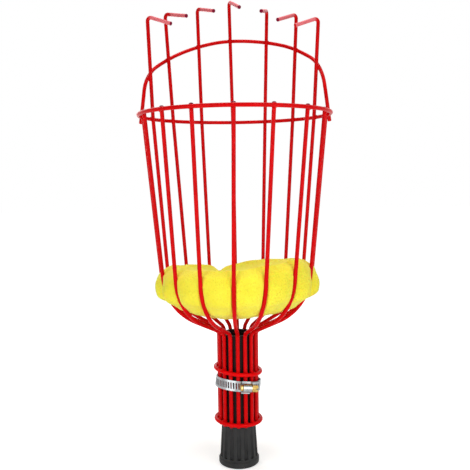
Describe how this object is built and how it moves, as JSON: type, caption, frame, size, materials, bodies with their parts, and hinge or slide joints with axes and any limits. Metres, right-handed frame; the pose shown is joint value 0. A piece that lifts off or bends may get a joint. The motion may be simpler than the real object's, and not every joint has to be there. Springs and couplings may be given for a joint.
{
  "type": "fruit picker head",
  "caption": "Red wire fruit picker basket with a soft yellow pad in its bowl, hooked picking tines, a rear arch and a clamped dark sleeve that takes the end of a pole.",
  "frame": {"origin": "centre of the mouth of the pole bore, at the bottom of the sleeve", "axes": "+Z along the pole bore, up to the tines; -Y is the open front of the basket, +X its right side seen from the front"},
  "size_m": [0.1533, 0.1533, 0.3801],
  "materials": {
    "red_coating": "smooth dip coating, satin to gloss",
    "foam": "matte open-cell foam",
    "sleeve": "matte moulded",
    "zinc": "bright zinc plate",
    "yellow_zinc": "yellow passivated zinc plate"
  },
  "bodies": {
    "basket": {"basket_wire_1": "red_coating", "basket_wire_2": "red_coating", "basket_wire_3": "red_coating", "basket_wire_4": "red_coating", "basket_wire_5": "red_coating", "basket_wire_6": "red_coating", "basket_wire_7": "red_coating", "basket_wire_8": "red_coating", "basket_wire_9": "red_coating", "tine_1": "red_coating", "tine_2": "red_coating", "tine_3": "red_coating", "tine_4": "red_coating", "tine_5": "red_coating", "tine_6": "red_coating", "tine_7": "red_coating", "rim_ring": "red_coating", "rear_arch": "red_coating", "neck_ring_upper": "red_coating", "neck_ring_lower": "red_coating", "foam_pad": "foam", "pole_sleeve": "sleeve"},
    "clamp": {"clamp_band": "zinc", "clamp_housing": "zinc"},
    "screw": {"clamp_screw": "yellow_zinc"},
    "tail": {"clamp_band_tail": "zinc"}
  },
  "joints": [
    {"name": "clamp_swivel", "type": "hinge", "parent": "basket", "child": "clamp", "pos_m": [0, 0, 0.0655], "axis": [0.1126, 0.1039, 0.9882], "continuous": true},
    {"name": "clamp_screw_turn", "type": "hinge", "parent": "clamp", "child": "screw", "pos_m": [0.00654, -0.02061, 0.06692], "axis": [-0.9467, -0.2908, 0.1384], "range_deg": [0, 1080]},
    {"name": "band_draw", "type": "hinge", "parent": "clamp", "child": "tail", "pos_m": [0, 0, 0.0655], "axis": [0.1126, 0.1039, 0.9882], "range_deg": [0, 19.08]}
  ],
  "couplings": [
    {"joint": "band_draw", "follows": "clamp_screw_turn", "ratio": 0.017575}
  ]
}
